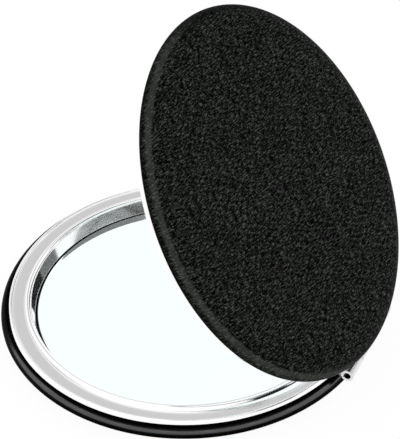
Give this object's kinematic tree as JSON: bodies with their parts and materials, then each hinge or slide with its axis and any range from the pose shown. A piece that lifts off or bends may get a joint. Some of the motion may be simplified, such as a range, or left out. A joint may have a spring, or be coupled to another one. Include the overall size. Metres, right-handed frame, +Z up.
{
  "type": "compact mirror",
  "caption": "Round folding compact mirror with leatherette-covered halves, polished rims, a glass in each half and a barrel hinge, standing part open.",
  "frame": {"origin": "centre of the base's flat outer face, on the surface that it lies on", "axes": "+Z up, out of the surface; +Y towards the hinge; X along the hinge"},
  "size_m": [0.07, 0.073, 0.0647],
  "materials": {
    "leatherette": "fine cross-grained, satin",
    "plated_metal": "polished plating",
    "silvered_glass": "silvered float glass",
    "steel_sheet": "plain sheet",
    "steel_pin": "drawn wire",
    "magnet": "nickel-plated",
    "adhesive_foam": "matt"
  },
  "bodies": {
    "base": {"base_frame": "plated_metal", "base_shell": "steel_sheet", "base_cover": "leatherette", "base_cover_tape": "adhesive_foam", "base_mirror": "silvered_glass", "base_mirror_tape": "adhesive_foam", "base_hinge_leaf": "plated_metal", "base_magnet": "magnet", "hinge_pin": "steel_pin"},
    "lid": {"lid_frame": "plated_metal", "lid_shell": "steel_sheet", "lid_cover": "leatherette", "lid_cover_tape": "adhesive_foam", "lid_mirror": "silvered_glass", "lid_mirror_tape": "adhesive_foam", "lid_hinge_leaf": "plated_metal", "lid_magnet": "magnet"}
  },
  "joints": [
    {"name": "lid_hinge", "type": "hinge", "parent": "base", "child": "lid", "pos_m": [0, 0.03545, 0.00528], "axis": [-1, 0, 0], "range_deg": [-55, 125]}
  ]
}
